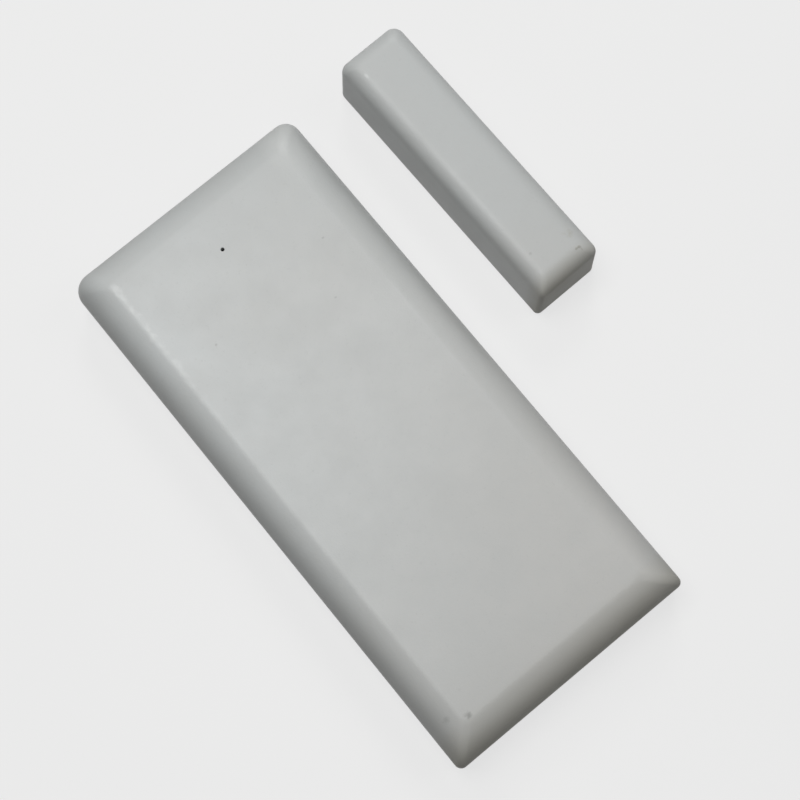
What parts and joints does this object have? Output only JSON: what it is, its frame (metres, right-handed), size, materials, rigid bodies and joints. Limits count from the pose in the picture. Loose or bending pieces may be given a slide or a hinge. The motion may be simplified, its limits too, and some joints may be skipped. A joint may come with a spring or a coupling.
{
  "type": "door window sensor",
  "caption": "Wireless door and window contact: a slab housing with convex shoulders and a lamp pinhole, and a small bar housing that holds its magnet.",
  "frame": {"origin": "centre of the large housing's back face, where it meets the door frame or wall", "axes": "+Z out of the front, +Y along the large housing towards the lamp's end, +X towards the magnet housing"},
  "size_m": [0.0748, 0.1069, 0.0145],
  "materials": {
    "cover_plastic": "fine moulded texture",
    "base_plastic": "moulded",
    "button_plastic": "moulded",
    "switch_plastic": "moulded",
    "plunger_plastic": "moulded",
    "board_laminate": "solder mask",
    "chip_case": "moulded",
    "resistor_body": "glazed",
    "tinned_can": "tinned",
    "capacitor_can": "satin",
    "lamp_resin": "clear",
    "tube_glass": "clear",
    "contact_steel": "nickel plated",
    "spring_steel": "bright",
    "screw_steel": "zinc plated",
    "antenna_wire": "drawn",
    "cell_jacket": "wrapped",
    "magnet_alloy": "ground"
  },
  "bodies": {
    "housing": {"front_cover": "cover_plastic", "back_plate": "base_plastic", "circuit_board": "board_laminate", "board_screws": "screw_steel", "status_led": "lamp_resin", "reed_blade_upper": "contact_steel", "reed_blade_lower": "contact_steel", "reed_glass": "tube_glass", "microcontroller_chip": "chip_case", "radio_shield": "tinned_can", "crystal_can": "tinned_can", "storage_capacitor": "capacitor_can", "chip_resistors": "resistor_body", "antenna_coil": "antenna_wire", "pairing_button_body": "switch_plastic", "tamper_switch_body": "switch_plastic", "tamper_spring": "spring_steel", "battery_cell_left": "cell_jacket", "battery_cell_right": "cell_jacket", "link_spring": "spring_steel", "negative_spring": "spring_steel", "link_plate": "contact_steel", "positive_tab": "contact_steel", "negative_tab": "contact_steel", "magnet_cover": "cover_plastic", "magnet_base": "base_plastic", "bar_magnet": "magnet_alloy"},
    "pairing_button": {"pairing_button_cap": "button_plastic"},
    "tamper_plunger": {"tamper_plunger": "plunger_plastic"}
  },
  "joints": [
    {"name": "pairing_button_press", "type": "slide", "parent": "housing", "child": "pairing_button", "axis": [0, 0, -1], "range_m": [0, 0.00025], "stiffness_N_per_m": 2000},
    {"name": "tamper_plunger_press", "type": "slide", "parent": "housing", "child": "tamper_plunger", "axis": [0, 0, 1], "range_m": [0, 0.0008], "stiffness_N_per_m": 500, "deforming": ["tamper_spring"]}
  ]
}
